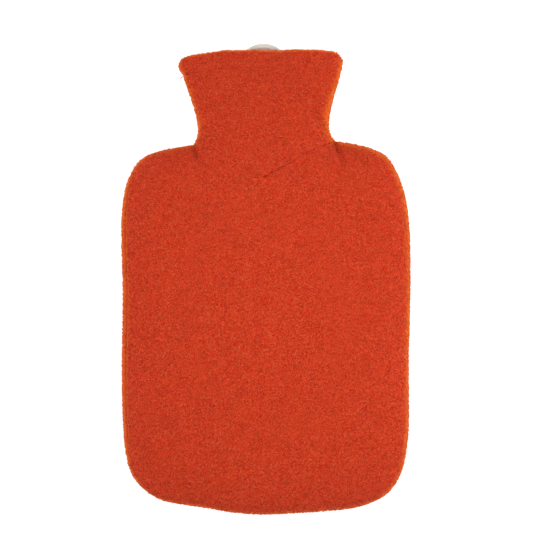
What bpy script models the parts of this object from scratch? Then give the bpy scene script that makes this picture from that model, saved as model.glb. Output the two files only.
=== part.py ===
"""Fleece cover on a hot water bottle, lying on its back.

The front of the cover faces +Z, its neck points along +Y, and the origin is on
the underside, in the middle of the whole object. Shapes are worked out in
millimetres, and every mesh is written in metres.
"""

import math

import bpy
import numpy as np

MM = 0.001

# The cover's outline seen from the front, as (x, y), walking down the left side.
NECK_LEFT = (
    (-60.6, 157.2),
    (-62.1, 151.8),
    (-59.4, 144.6),
    (-53.7, 128.9),
    (-49.7, 115.5),
    (-48.5, 107.5),
    (-49.3, 100.4),
    (-51.6, 95.7),
)
BODY_OUTLINE = (
    (-51.6, 95.7),
    (-62.3, 94.0),
    (-74.5, 91.7),
    (-84.6, 88.2),
    (-91.6, 82.6),
    (-96.6, 74.4),
    (-100.4, 63.5),
    (-102.5, 47.0),
    (-102.9, 28.0),
    (-101.9, -10.0),
    (-102.6, -60.0),
    (-102.2, -90.0),
    (-100.9, -115.0),
    (-98.4, -130.8),
    (-93.6, -142.0),
    (-86.3, -150.2),
    (-76.6, -156.4),
    (-64.0, -159.6),
    (-44.0, -162.6),
    (-25.0, -165.8),
    (-5.0, -167.5),
    (18.0, -166.7),
    (44.0, -165.0),
    (62.5, -162.8),
    (76.5, -158.4),
    (87.4, -151.8),
    (94.6, -141.6),
    (99.0, -128.4),
    (101.4, -110.0),
    (101.9, -88.0),
    (101.6, -60.0),
    (102.8, -10.0),
    (102.6, 28.0),
    (101.0, 48.0),
    (97.6, 64.8),
    (92.8, 76.8),
    (86.8, 86.4),
    (77.6, 92.2),
    (64.8, 96.0),
    (49.4, 98.4),
)
NECK_RIGHT = (
    (49.4, 98.4),
    (46.4, 102.4),
    (45.0, 108.6),
    (45.6, 116.4),
    (48.4, 129.0),
    (52.4, 141.8),
    (53.8, 148.4),
    (54.9, 157.4),
)
HEM_EDGE = (
    (-60.6, 157.2),
    (-55.6, 158.8),
    (-44.0, 160.2),
    (-29.0, 162.1),
    (-6.0, 162.4),
    (8.0, 162.1),
    (26.0, 162.8),
    (42.0, 162.3),
    (51.2, 160.7),
    (54.9, 157.4),
)
# The seam that joins the front of the body to the front of the neck dips to a point.
POINT_SEAM = (
    (-51.6, 95.7),
    (-38.8, 92.0),
    (-28.0, 87.2),
    (-17.0, 79.9),
    (-7.0, 74.2),
    (-0.4, 73.0),
    (14.0, 80.6),
    (29.5, 89.9),
    (39.0, 94.8),
    (49.4, 98.4),
)
POINT_SEAM_TIP = min(POINT_SEAM, key=lambda place: place[1])

# Heights along the cover: where the side seam lies, how far the front rises above it,
# how far the back drops below it, and how wide the rounded edge of each is.
HEIGHTS = (
    {"y": -170.0, "seam": 14.0, "front": 19.0, "back": 14.0, "front_edge": 27.0, "back_edge": 21.0},
    {"y": 62.0, "seam": 14.0, "front": 19.0, "back": 14.0, "front_edge": 27.0, "back_edge": 21.0},
    {"y": 102.0, "seam": 14.5, "front": 17.3, "back": 14.0, "front_edge": 30.0, "back_edge": 25.0},
    {"y": 126.0, "seam": 15.0, "front": 15.4, "back": 13.4, "front_edge": 35.0, "back_edge": 30.0},
    {"y": 170.0, "seam": 15.0, "front": 14.2, "back": 12.0, "front_edge": 42.0, "back_edge": 38.0},
)
CROWN = {"rise": 1.6, "half_width": 100.0, "half_length": 138.0, "middle_y": -30.0}

# Creases in the front: a straight run from one end to the other, negative for a trough,
# and its soft half width. They die away towards the outline.
CREASES = (
    {"start": (49.5, 96.5), "end": (56.6, 82.4), "height": -1.3, "width": 3.6},
    {"start": (43.5, 92.0), "end": (50.0, 79.0), "height": 0.9, "width": 4.6},
    {"start": (-51.8, 93.2), "end": (-48.8, 86.4), "height": -1.1, "width": 3.4},
    {"start": (33.1, 120.2), "end": (40.9, 107.3), "height": -1.1, "width": 3.8},
    {"start": (31.7, 109.5), "end": (43.8, 103.1), "height": 0.8, "width": 4.0},
    {"start": (-53.8, 152.0), "end": (-37.4, 143.6), "height": -0.8, "width": 7.0},
    {"start": (-70.0, -109.0), "end": (62.0, -66.0), "height": -0.9, "width": 11.0},
    {"start": (-95.0, 75.0), "end": (-89.0, 58.0), "height": -0.7, "width": 6.0},
)
CREASE_FADE = 9.0

CLOTH = 2.0
HEM_CLOTH = 3.4
HEM_DEPTH = 12.0
SEAM_GAP = 0.5
POINT_SEAM_GAP = 0.5
OUTLINE_STEP = 1.0

# Distances in from an edge at which the mesh of the cloth has a line. At a side seam the
# second is next to the first, so that the cloth leaves the seam square to it.
SIDE_STEPS = (0.0, 0.02, 1.8, 7.0, 15.0, 27.0)
TOP_STEPS = (0.0, 1.5, 5.0, 10.0, 17.0, 27.0)
NECK_SIDE_STEPS = (0.0, 0.02, 1.8, 6.3, 13.0, 22.5, 34.0)
BODY_MIDDLE = (0.0, -35.0)
INNER_RINGS = 4
SIDE_POINTS = 66
CORNER_PULL = 26.0
NECK_ROWS = 7
HEM_ROWS = 2
HEM_SIDE_COLUMNS = 2

# The bottle, plain, as sections across it from its bottom end to its funnel.
BOTTLE_SECTIONS = (
    {"y": -161.0, "half_width": 20.0, "rise": 4.0, "drop": 3.2},
    {"y": -158.5, "half_width": 36.0, "rise": 6.5, "drop": 5.0},
    {"y": -154.5, "half_width": 61.0, "rise": 9.5, "drop": 7.2},
    {"y": -150.0, "half_width": 75.0, "rise": 12.0, "drop": 9.0},
    {"y": -143.0, "half_width": 84.5, "rise": 14.3, "drop": 10.6},
    {"y": -130.0, "half_width": 92.0, "rise": 15.8, "drop": 11.2},
    {"y": -105.0, "half_width": 95.5, "rise": 16.4, "drop": 11.4},
    {"y": 30.0, "half_width": 96.5, "rise": 16.4, "drop": 11.4},
    {"y": 58.0, "half_width": 94.0, "rise": 15.8, "drop": 11.2},
    {"y": 72.0, "half_width": 86.0, "rise": 14.2, "drop": 10.8},
    {"y": 80.0, "half_width": 76.0, "rise": 12.6, "drop": 10.4},
    {"y": 86.5, "half_width": 58.0, "rise": 11.4, "drop": 10.0},
    {"y": 92.0, "half_width": 38.0, "rise": 11.0, "drop": 9.8},
    {"y": 100.0, "half_width": 27.0, "rise": 11.0, "drop": 9.8},
    {"y": 110.0, "half_width": 23.0, "rise": 11.0, "drop": 9.8},
    {"y": 119.0, "half_width": 24.5, "rise": 11.2, "drop": 9.8},
    {"y": 127.5, "half_width": 31.0, "rise": 10.8, "drop": 9.4},
)
BOTTLE_SQUARENESS = 3.0
BOTTLE_RING_POINTS = 32

# The stopper: a round grip lying flat, on a plug that reaches down to the funnel.
GRIP = {"x": -1.6, "y": 149.2, "z": 15.0, "radius": 18.3, "thickness": 7.0, "rounding": 2.4}
GRIP_SIDES = 40
GRIP_ROUNDING_STEPS = 2
PLUG_SIDES = 24
PLUG_RADIUS = 9.5
PLUG_GAP = 0.5
PLUG_OVERLAP = 6.0


def clear_scene():
    for thing in list(bpy.data.objects):
        bpy.data.objects.remove(thing, do_unlink=True)


def smooth_line(points, step=OUTLINE_STEP):
    """A smooth line through the points, with a vertex about every step."""
    knots = np.array(points, float)
    ends = (2 * knots[0] - knots[1], 2 * knots[-1] - knots[-2])
    knots = np.vstack([ends[0], knots, ends[1]])
    line = []
    for before, start, end, after in zip(knots, knots[1:], knots[2:], knots[3:]):
        span = np.linalg.norm(end - start)
        lead = span / max(np.linalg.norm(start - before), span)
        tail = span / max(np.linalg.norm(after - end), span)
        leaving = (end - start + (start - before) * lead) / 2
        arriving = (end - start + (after - end) * tail) / 2
        count = max(2, round(span / step))
        for t in np.arange(count) / count:
            line.append(
                start * (2 * t**3 - 3 * t**2 + 1)
                + leaving * (t**3 - 2 * t**2 + t)
                + end * (3 * t**2 - 2 * t**3)
                + arriving * (t**3 - t**2)
            )
    line.append(knots[-2])
    return np.array(line)


def at_fractions(line, fractions):
    """Points on a line at fractions of its length."""
    lengths = np.r_[0, np.cumsum(np.linalg.norm(np.diff(line, axis=0), axis=1))]
    wanted = np.asarray(fractions) * lengths[-1]
    return np.column_stack([np.interp(wanted, lengths, line[:, 0]), np.interp(wanted, lengths, line[:, 1])])


def at_widths(line, xs):
    """Points on a line that runs left to right, at the given x."""
    return np.column_stack([xs, np.interp(xs, line[:, 0], line[:, 1])])


def along_heights(name, y):
    """One column of HEIGHTS at y, eased from row to row."""
    rows = np.array([row["y"] for row in HEIGHTS])
    values = np.array([row[name] for row in HEIGHTS])
    index = np.clip(np.searchsorted(rows, y) - 1, 0, len(rows) - 2)
    t = np.clip((y - rows[index]) / (rows[index + 1] - rows[index]), 0, 1)
    eased = t * t * (3 - 2 * t)
    return values[index] + (values[index + 1] - values[index]) * eased


def distance_to(line, points):
    """How far each point is from a line of short straight runs."""
    starts = line[:-1]
    runs = np.diff(line, axis=0)
    offsets = points[:, None, :] - starts[None]
    t = np.clip((offsets * runs).sum(2) / (runs**2).sum(1), 0, 1)
    return np.linalg.norm(offsets - t[..., None] * runs, axis=2).min(1)


def rounded_edge(distance, width):
    """0 at the edge and 1 from width inwards, along a quarter of an ellipse."""
    t = np.clip(distance / width, 0, 1)
    return np.sqrt(1 - (1 - t) ** 2)


def crease_height(points):
    total = np.zeros(len(points))
    for crease in CREASES:
        ends = np.array([crease["start"], crease["end"]], float)
        apart = distance_to(ends, points)
        total += crease["height"] * np.exp(-((apart / crease["width"]) ** 2))
    return total


def front_surface(side_seam, points):
    distance = distance_to(side_seam, points)
    x, y = points.T
    seam = along_heights("seam", y) + SEAM_GAP
    rise = along_heights("front", y) - SEAM_GAP
    across = np.clip(1 - (x / CROWN["half_width"]) ** 2, 0, 1)
    along = np.clip(1 - ((y - CROWN["middle_y"]) / CROWN["half_length"]) ** 2, 0, 1)
    rise = rise + CROWN["rise"] * across * along
    edge = rounded_edge(distance, along_heights("front_edge", y))
    fade = np.clip(distance / CREASE_FADE, 0, 1)
    return seam + rise * edge + crease_height(points) * fade


def back_surface(side_seam, points):
    distance = distance_to(side_seam, points)
    y = points[:, 1]
    seam = along_heights("seam", y) - SEAM_GAP
    drop = along_heights("back", y) - SEAM_GAP
    return seam - drop * rounded_edge(distance, along_heights("back_edge", y))


def patch(left, right, bottom, top, rows, columns):
    """A grid of points that fills the space between four lines."""
    v = np.asarray(rows)[:, None, None]
    u = np.asarray(columns)[None, :, None]
    across = (1 - u) * left[:, None] + u * right[:, None]
    along = (1 - v) * bottom[None] + v * top[None]
    corners = (
        (1 - u) * (1 - v) * bottom[0]
        + u * (1 - v) * bottom[-1]
        + (1 - u) * v * top[0]
        + u * v * top[-1]
    )
    return across + along - corners


def grid_faces(index):
    """Quads over a grid of vertex numbers, whose rows run upwards."""
    corners = (index[:-1, :-1], index[:-1, 1:], index[1:, 1:], index[1:, :-1])
    return np.stack([corner.ravel() for corner in corners], axis=1)


def cover_lines():
    """The outline, split where the seams meet it."""
    neck_left = smooth_line(NECK_LEFT)
    neck_right = smooth_line(NECK_RIGHT)
    body = smooth_line(BODY_OUTLINE)
    return {
        "side_seam": np.vstack([neck_left[:-1], body, neck_right[1:]]),
        "body": body,
        "neck_left": neck_left[::-1],
        "neck_right": neck_right,
        "hem": smooth_line(HEM_EDGE),
    }


def closer_at_corners(line, count):
    """Points on a line, spaced by its length and by how much it turns."""
    runs = np.diff(line, axis=0)
    heading = np.unwrap(np.arctan2(runs[:, 1], runs[:, 0]))
    turn = np.r_[0, np.abs(np.diff(heading))]
    measure = np.r_[0, np.cumsum(np.linalg.norm(runs, axis=1) + CORNER_PULL * turn)]
    wanted = np.linspace(0, measure[-1], count)
    return np.column_stack([np.interp(wanted, measure, line[:, 0]), np.interp(wanted, measure, line[:, 1])])


def neck_places(left, right):
    """The x of each line of the mesh up the neck."""
    edge = np.array(NECK_SIDE_STEPS)
    return np.r_[left + edge, POINT_SEAM_TIP[0], (right - edge)[::-1]]


def body_rings(lines, top_of_body):
    """Rings of points, from the body's edge in to its middle. The first starts down the left side."""
    side = closer_at_corners(lines["body"], SIDE_POINTS)
    edge = np.vstack([side, top_of_body[-2:0:-1]])
    ahead = np.roll(edge, -1, axis=0) - np.roll(edge, 1, axis=0)
    inward = np.column_stack([-ahead[:, 1], ahead[:, 0]])
    inward /= np.linalg.norm(inward, axis=1)[:, None]
    to_middle = np.array(BODY_MIDDLE) - edge
    depth = (to_middle * inward).sum(1)
    on_side = np.arange(len(edge)) < SIDE_POINTS
    steps = np.where(on_side, np.array(SIDE_STEPS)[:, None], np.array(TOP_STEPS)[:, None]) / depth
    last = steps[-1]
    inner = [last + (1 - last) * part for part in np.arange(1, INNER_RINGS) / INNER_RINGS]
    shares = np.vstack([steps, inner])
    return edge[None] + shares[..., None] * to_middle[None]


def add_body(lines, top_of_body):
    """Points and faces of the body, with a fan at its middle, and the numbers of its top line, left to right."""
    rings = body_rings(lines, top_of_body)
    index = numbered(rings)
    joined = np.hstack([index, index[:, :1]])
    faces = [tuple(face) for face in grid_faces(joined)]
    middle = index.size
    faces += [(start, end, middle) for start, end in zip(joined[-1], joined[-1, 1:])]
    points = np.vstack([rings.reshape(-1, 2), BODY_MIDDLE])
    top_numbers = np.r_[index[0, 0], index[0, : SIDE_POINTS - 1 : -1], index[0, SIDE_POINTS - 1]]
    return points, faces, top_numbers


def neck_grid(lines, bottom):
    """The neck's points, from the given bottom row up to the edge of the hem."""
    fractions = (bottom[:, 0] - bottom[0, 0]) / (bottom[-1, 0] - bottom[0, 0])
    hem_start = 1 - HEM_DEPTH / np.ptp(lines["neck_left"][:, 1])
    hem_rows = np.linspace(hem_start, 1, HEM_ROWS + 1)[1:]
    rows = np.r_[np.linspace(0, hem_start, NECK_ROWS + 1), hem_rows]
    hem_xs = lines["hem"][0, 0] + fractions * np.ptp(lines["hem"][:, 0])
    left = at_fractions(np.vstack([bottom[:1], lines["neck_left"][1:]]), rows)
    right = at_fractions(np.vstack([bottom[-1:], lines["neck_right"][1:]]), rows)
    return patch(left, right, bottom, at_widths(lines["hem"], hem_xs), rows, fractions)


def plain_material(name, colour, roughness, transmission=0.0):
    material = bpy.data.materials.new(name)
    material.use_nodes = True
    shader = material.node_tree.nodes["Principled BSDF"]
    shader.inputs["Base Color"].default_value = (*colour, 1)
    shader.inputs["Roughness"].default_value = roughness
    shader.inputs["Metallic"].default_value = 0
    shader.inputs["Transmission Weight"].default_value = transmission
    return material


def mesh_object(name, points, faces, material, collection):
    mesh = bpy.data.meshes.new(name)
    mesh.from_pydata([tuple(point) for point in np.asarray(points) * MM], [], [tuple(face) for face in faces])
    mesh.materials.append(material)
    mesh.shade_smooth()
    thing = bpy.data.objects.new(name, mesh)
    collection.objects.link(thing)
    return thing


def give_thickness(cloth, neck_index=None):
    """Cloth grows inwards from its outer face, and is thicker where the hem is turned in."""
    solidify = cloth.modifiers.new("thickness", "SOLIDIFY")
    solidify.thickness = CLOTH * MM
    solidify.offset = -1
    if neck_index is not None:
        hem = neck_index[-HEM_ROWS - 1 :, HEM_SIDE_COLUMNS:-HEM_SIDE_COLUMNS]
        group = cloth.vertex_groups.new(name="hem")
        group.add([int(number) for number in hem.ravel()], 1.0, "REPLACE")
        solidify.thickness = HEM_CLOTH * MM
        solidify.vertex_group = "hem"
        solidify.thickness_vertex_group = CLOTH / HEM_CLOTH


def numbered(grid, start=0):
    count = grid.shape[0] * grid.shape[1]
    return np.arange(start, start + count).reshape(grid.shape[:2])


def add_front_panel(lines, material, collection):
    seam = np.array(POINT_SEAM)
    seam[1:-1, 1] -= POINT_SEAM_GAP
    top = at_widths(seam, neck_places(seam[0, 0], seam[-1, 0]))
    points, faces, _ = add_body(lines, top)
    heights = front_surface(lines["side_seam"], points)
    panel = mesh_object("front_panel", np.column_stack([points, heights]), faces, material, collection)
    give_thickness(panel)


def add_neck_front(lines, material, collection):
    seam = np.array(POINT_SEAM)
    for end, side in ((0, "neck_left"), (-1, "neck_right")):
        height = lines[side][0, 1] + POINT_SEAM_GAP
        seam[end] = (np.interp(height, lines[side][:, 1], lines[side][:, 0]), height)
    grid = neck_grid(lines, at_widths(seam, neck_places(seam[0, 0], seam[-1, 0])))
    index = numbered(grid)
    points = grid.reshape(-1, 2)
    heights = front_surface(lines["side_seam"], points)
    points = np.column_stack([points, heights])
    neck = mesh_object("neck_front", points, grid_faces(index), material, collection)
    give_thickness(neck, index)


def add_back_panel(lines, material, collection):
    """The back's body and neck are one piece of cloth."""
    ends = np.vstack([lines["body"][0], lines["body"][-1]])
    cross = at_widths(ends, neck_places(*ends[:, 0]))
    body, faces, top_numbers = add_body(lines, cross)
    neck = neck_grid(lines, cross)[1:]
    index = np.vstack([top_numbers, numbered(neck, len(body))])
    points = np.vstack([body, neck.reshape(-1, 2)])
    heights = back_surface(lines["side_seam"], points)
    faces = [face[::-1] for face in faces + [tuple(face) for face in grid_faces(index)]]
    panel = mesh_object("back_panel", np.column_stack([points, heights]), faces, material, collection)
    give_thickness(panel, index)


def add_bottle(material, collection):
    """A loft through the bottle's sections, with a flat face at each end."""
    angles = np.arange(BOTTLE_RING_POINTS) * 2 * math.pi / BOTTLE_RING_POINTS
    round_x = np.sign(np.cos(angles)) * np.abs(np.cos(angles)) ** (2 / BOTTLE_SQUARENESS)
    round_z = np.sign(np.sin(angles)) * np.abs(np.sin(angles)) ** (2 / BOTTLE_SQUARENESS)
    points = []
    for row in BOTTLE_SECTIONS:
        middle = along_heights("seam", np.array([row["y"]]))[0]
        depth = np.where(round_z > 0, row["rise"], row["drop"])
        ys = np.full(BOTTLE_RING_POINTS, row["y"])
        points.append(np.column_stack([row["half_width"] * round_x, ys, middle + depth * round_z]))
    rings = np.arange(len(points) * BOTTLE_RING_POINTS).reshape(-1, BOTTLE_RING_POINTS)
    turned = np.roll(rings, -1, axis=1)
    sides = np.stack([rings[:-1].ravel(), rings[1:].ravel(), turned[1:].ravel(), turned[:-1].ravel()], axis=1)
    faces = [tuple(side) for side in sides]
    faces.append(tuple(rings[0]))
    faces.append(tuple(rings[-1][::-1]))
    mesh_object("bottle", np.vstack(points), faces, material, collection)


def add_stopper(material, collection, helpers):
    """A round grip, joined to a plug that lies along the neck."""
    bpy.ops.mesh.primitive_cylinder_add(
        vertices=GRIP_SIDES,
        radius=GRIP["radius"] * MM,
        depth=GRIP["thickness"] * MM,
        location=(GRIP["x"] * MM, GRIP["y"] * MM, GRIP["z"] * MM),
    )
    grip = bpy.context.object
    grip.name = "stopper"
    rounding = grip.modifiers.new("rounding", "BEVEL")
    rounding.width = GRIP["rounding"] * MM
    rounding.segments = GRIP_ROUNDING_STEPS
    low = BOTTLE_SECTIONS[-1]["y"] + PLUG_GAP
    high = GRIP["y"] - GRIP["radius"] + PLUG_OVERLAP
    bpy.ops.mesh.primitive_cylinder_add(
        vertices=PLUG_SIDES,
        radius=PLUG_RADIUS * MM,
        depth=(high - low) * MM,
        location=(GRIP["x"] * MM, (low + high) / 2 * MM, GRIP["z"] * MM),
        rotation=(math.pi / 2, 0, 0),
    )
    plug = bpy.context.object
    plug.name = "plug"
    plug.hide_render = True
    plug.display_type = "WIRE"
    join = grip.modifiers.new("plug", "BOOLEAN")
    join.operation = "UNION"
    join.object = plug
    grip.data.materials.append(material)
    grip.data.shade_smooth()
    for thing, home in ((grip, collection), (plug, helpers)):
        for old in list(thing.users_collection):
            old.objects.unlink(thing)
        home.objects.link(thing)


clear_scene()
cover_and_bottle = bpy.data.collections.new("hot_water_bottle_cover")
helpers = bpy.data.collections.new("helpers")
for collection in (cover_and_bottle, helpers):
    bpy.context.scene.collection.children.link(collection)

fleece = plain_material("fleece", (0.58, 0.05, 0.018), 0.95)
rubber = plain_material("bottle_rubber", (0.55, 0.53, 0.48), 0.5)
clear_plastic = plain_material("stopper_plastic", (0.82, 0.78, 0.68), 0.3, 0.6)

outline = cover_lines()
add_front_panel(outline, fleece, cover_and_bottle)
add_neck_front(outline, fleece, cover_and_bottle)
add_back_panel(outline, fleece, cover_and_bottle)
add_bottle(rubber, cover_and_bottle)
add_stopper(clear_plastic, cover_and_bottle, helpers)
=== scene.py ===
import math

import bpy
import numpy as np
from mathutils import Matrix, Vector, geometry, kdtree, noise


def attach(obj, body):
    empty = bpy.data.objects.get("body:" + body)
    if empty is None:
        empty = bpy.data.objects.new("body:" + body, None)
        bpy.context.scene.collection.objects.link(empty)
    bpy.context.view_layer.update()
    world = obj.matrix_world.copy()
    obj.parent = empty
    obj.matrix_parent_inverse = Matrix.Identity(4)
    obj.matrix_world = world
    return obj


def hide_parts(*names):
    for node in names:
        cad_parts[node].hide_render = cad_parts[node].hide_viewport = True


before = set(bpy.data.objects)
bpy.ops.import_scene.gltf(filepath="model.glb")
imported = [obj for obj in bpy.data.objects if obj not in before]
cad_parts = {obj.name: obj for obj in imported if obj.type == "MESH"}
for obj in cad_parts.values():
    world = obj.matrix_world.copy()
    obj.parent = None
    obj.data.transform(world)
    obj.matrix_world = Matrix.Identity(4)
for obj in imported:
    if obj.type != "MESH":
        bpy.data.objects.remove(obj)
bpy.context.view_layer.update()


# ---- Table, camera and light ----
# A wide, pale, softly lit table with the cover lying on it, seen from straight above,
# as in a product studio where the white table itself gives off some light.

# Sizes in this file are in millimetres, unless MM turns them into metres.
MM = 0.001
TABLE_HALF_WIDTH = 6.0
TABLE_DROP = 0.0002
VIEW_WIDTH = 379.4 * MM
VIEW_MIDDLE = (0.45 * MM, 9.0 * MM)
VIEW_PLANE = 15.0 * MM
LENS = 200.0
SENSOR = 36.0
SOFT_LIGHTS = (
    {"name": "key", "place": (0.06, 0.0, 0.48), "size": 0.3, "power": 1.66},
    {"name": "fill", "place": (-0.9, 0.4, 1.3), "size": 1.2, "power": 2.0},
    {"name": "right_side", "place": (0.75, 0.0, 0.07), "size": 0.5, "power": 3.6},
    {"name": "left_side", "place": (-0.75, 0.0, 0.07), "size": 0.5, "power": 2.6},
    {"name": "mouth_side", "place": (0.0, 0.9, 0.07), "size": 0.5, "power": 2.2},
    {"name": "bottom_side", "place": (0.0, -0.9, 0.07), "size": 0.5, "power": 2.3},
)
ROOM_LIGHT = 0.42


def placed(name, data):
    """A new object in the scene."""
    made = bpy.data.objects.new(name, data)
    bpy.context.scene.collection.objects.link(made)
    return made


def add_node(tree, kind, values=None, **settings):
    """A node with its settings, and with values for its inputs by name or number."""
    node = tree.nodes.new(kind)
    for name, value in settings.items():
        setattr(node, name, value)
    for socket, value in (values or {}).items():
        node.inputs[socket].default_value = value
    return node


def connect(tree, *links):
    """Links, each from a node's output to a node's input."""
    for source, output, target, socket in links:
        tree.links.new(source.outputs[output], target.inputs[socket])


def new_material(name, values):
    """A material with the given values on its shader, and its nodes and shader."""
    material = bpy.data.materials.new(name)
    material.use_nodes = True
    shader = material.node_tree.nodes["Principled BSDF"]
    for socket, value in values.items():
        shader.inputs[socket].default_value = value
    return material, material.node_tree, shader


table_corners = [
    (x * TABLE_HALF_WIDTH, y * TABLE_HALF_WIDTH, -TABLE_DROP)
    for x, y in ((-1, -1), (1, -1), (1, 1), (-1, 1))
]
table_mesh = bpy.data.meshes.new("table")
table_mesh.from_pydata(table_corners, [], [(0, 1, 2, 3)])
table_white, _, _ = new_material(
    "table_white",
    {
        "Base Color": (0.55, 0.55, 0.55, 1),
        "Roughness": 0.8,
        "Specular IOR Level": 0.1,
        "Emission Color": (1, 1, 1, 1),
        "Emission Strength": 0.8,
    },
)
table_mesh.materials.append(table_white)
table = placed("table", table_mesh)

camera_data = bpy.data.cameras.new("camera")
camera_data.lens = LENS
camera_data.sensor_width = SENSOR
camera = placed("camera", camera_data)
camera.location = (*VIEW_MIDDLE, VIEW_PLANE + VIEW_WIDTH * LENS / SENSOR)
bpy.context.scene.camera = camera

for row in SOFT_LIGHTS:
    light_data = bpy.data.lights.new(row["name"], "AREA")
    light_data.size = row["size"]
    light_data.energy = row["power"]
    light = placed(row["name"], light_data)
    light.location = row["place"]
    light.rotation_euler = (-Vector(row["place"])).to_track_quat("-Z", "Y").to_euler()
    light.visible_camera = False

# The studio's walls look as white as the table, and light the cover softly.
studio = bpy.data.worlds.new("studio")
studio.use_nodes = True
room = studio.node_tree.nodes["Background"]
room.inputs["Color"].default_value = (1, 1, 1, 1)
seen = add_node(studio.node_tree, "ShaderNodeLightPath")
strength = add_node(studio.node_tree, "ShaderNodeMapRange", {"To Min": ROOM_LIGHT, "To Max": 1.0})
connect(
    studio.node_tree,
    (seen, "Is Camera Ray", strength, "Value"),
    (strength, "Result", room, "Strength"),
)
bpy.context.scene.world = studio
bpy.context.scene.view_settings.view_transform = "Standard"


# ---- Front panel ----
# The front of the body, cut from orange micro-fleece and sewn inside out to the back
# along its sides and to the neck along a seam with a point, then turned and pulled
# over the filled bottle, so that its edges roll in at the seams.

BODY_OUTLINE = (
    (-51.6, 95.7),
    (-62.3, 94.0),
    (-74.5, 91.7),
    (-84.6, 88.2),
    (-91.6, 82.6),
    (-96.6, 74.4),
    (-100.4, 63.5),
    (-102.5, 47.0),
    (-102.9, 28.0),
    (-101.9, -10.0),
    (-102.6, -60.0),
    (-102.2, -90.0),
    (-100.9, -115.0),
    (-98.4, -130.8),
    (-93.6, -142.0),
    (-86.3, -150.2),
    (-76.6, -156.4),
    (-64.0, -159.6),
    (-44.0, -162.6),
    (-25.0, -165.8),
    (-5.0, -167.5),
    (18.0, -166.7),
    (44.0, -165.0),
    (62.5, -162.8),
    (76.5, -158.4),
    (87.4, -151.8),
    (94.6, -141.6),
    (99.0, -128.4),
    (101.4, -110.0),
    (101.9, -88.0),
    (101.6, -60.0),
    (102.8, -10.0),
    (102.6, 28.0),
    (101.0, 48.0),
    (97.6, 64.8),
    (92.8, 76.8),
    (86.8, 86.4),
    (77.6, 92.2),
    (64.8, 96.0),
    (49.4, 98.4),
)
NECK_LEFT = (
    (-51.6, 95.7),
    (-49.3, 100.4),
    (-48.5, 107.5),
    (-49.7, 115.5),
    (-53.7, 128.9),
    (-58.3, 141.8),
    (-59.2, 144.9),
    (-61.2, 148.4),
    (-62.1, 151.8),
    (-60.6, 157.2),
)
NECK_RIGHT = (
    (49.4, 98.4),
    (46.4, 102.4),
    (45.0, 108.6),
    (45.6, 116.4),
    (48.4, 129.0),
    (52.4, 141.8),
    (53.8, 148.4),
    (54.9, 157.4),
)

# The seam that joins the front of the body to the front of the neck dips to a point.
POINT_SEAM = (
    (-51.6, 95.7),
    (-38.8, 92.0),
    (-28.0, 87.2),
    (-17.0, 79.9),
    (-7.0, 74.2),
    (-0.4, 73.0),
    (14.0, 80.6),
    (29.5, 89.9),
    (39.0, 94.8),
    (49.4, 98.4),
)

# Heights along the cover: where the side seam lies, how far the front rises above it,
# how far the back drops below it, and how wide the rounded edge of each is.
HEIGHTS = (
    {"y": -170.0, "seam": 14.0, "front": 19.0, "back": 14.0, "front_edge": 27.0, "back_edge": 21.0},
    {"y": 62.0, "seam": 14.0, "front": 19.0, "back": 14.0, "front_edge": 27.0, "back_edge": 21.0},
    {"y": 102.0, "seam": 14.5, "front": 17.3, "back": 14.0, "front_edge": 30.0, "back_edge": 25.0},
    {"y": 126.0, "seam": 15.0, "front": 15.4, "back": 13.4, "front_edge": 35.0, "back_edge": 30.0},
    {"y": 170.0, "seam": 15.0, "front": 14.2, "back": 12.0, "front_edge": 42.0, "back_edge": 38.0},
)
CROWN = {"rise": 1.6, "half_width": 100.0, "half_length": 138.0, "middle_y": -30.0}

# Creases and hollows in the front: a straight run from one end to the other, negative
# for a trough, its soft half width, and how far in from the outline it dies away.
CREASES = (
    {"start": (49.3, 96.6), "end": (51.4, 91.0), "height": -6.8, "width": 1.4, "fade": 1.2},
    {"start": (52.2, 89.0), "end": (54.2, 83.5), "height": -3.2, "width": 2.0, "fade": 3.0},
    {"start": (46.4, 93.5), "end": (49.6, 85.5), "height": 1.5, "width": 2.8, "fade": 3.0},
    {"start": (-52.2, 94.6), "end": (-49.0, 86.8), "height": -4.0, "width": 1.6, "fade": 1.5},
    {"start": (33.5, 119.0), "end": (41.0, 110.0), "height": -3.4, "width": 2.2, "fade": 3.0},
    {"start": (33.0, 110.0), "end": (43.0, 104.0), "height": 1.6, "width": 3.4, "fade": 3.0},
    {"start": (-53.8, 152.0), "end": (-37.4, 143.6), "height": -0.8, "width": 7.0, "fade": 9.0},
    {"start": (-70.0, -109.0), "end": (62.0, -66.0), "height": -1.0, "width": 10.0, "fade": 9.0},
    {"start": (-95.0, 75.0), "end": (-89.0, 58.0), "height": -0.7, "width": 6.0, "fade": 9.0},
    {"start": (84.0, -56.0), "end": (96.0, -72.0), "height": -0.6, "width": 4.5, "fade": 6.0},
    {"start": (72.0, -133.5), "end": (91.0, -133.0), "height": -0.8, "width": 3.2, "fade": 9.0},
    {"start": (76.0, -141.0), "end": (84.0, -141.0), "height": 0.5, "width": 4.0, "fade": 9.0},
    {"start": (-29.0, 97.5), "end": (-25.0, 95.0), "height": -0.5, "width": 7.5, "fade": 9.0},
    {"start": (-45.0, 120.0), "end": (-42.0, 116.0), "height": -0.6, "width": 6.5, "fade": 9.0},
    {"start": (2.0, 60.0), "end": (9.0, 56.0), "height": -0.5, "width": 9.0, "fade": 9.0},
    {"start": (31.0, 79.0), "end": (37.0, 75.0), "height": -0.6, "width": 8.0, "fade": 9.0},
)

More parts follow.
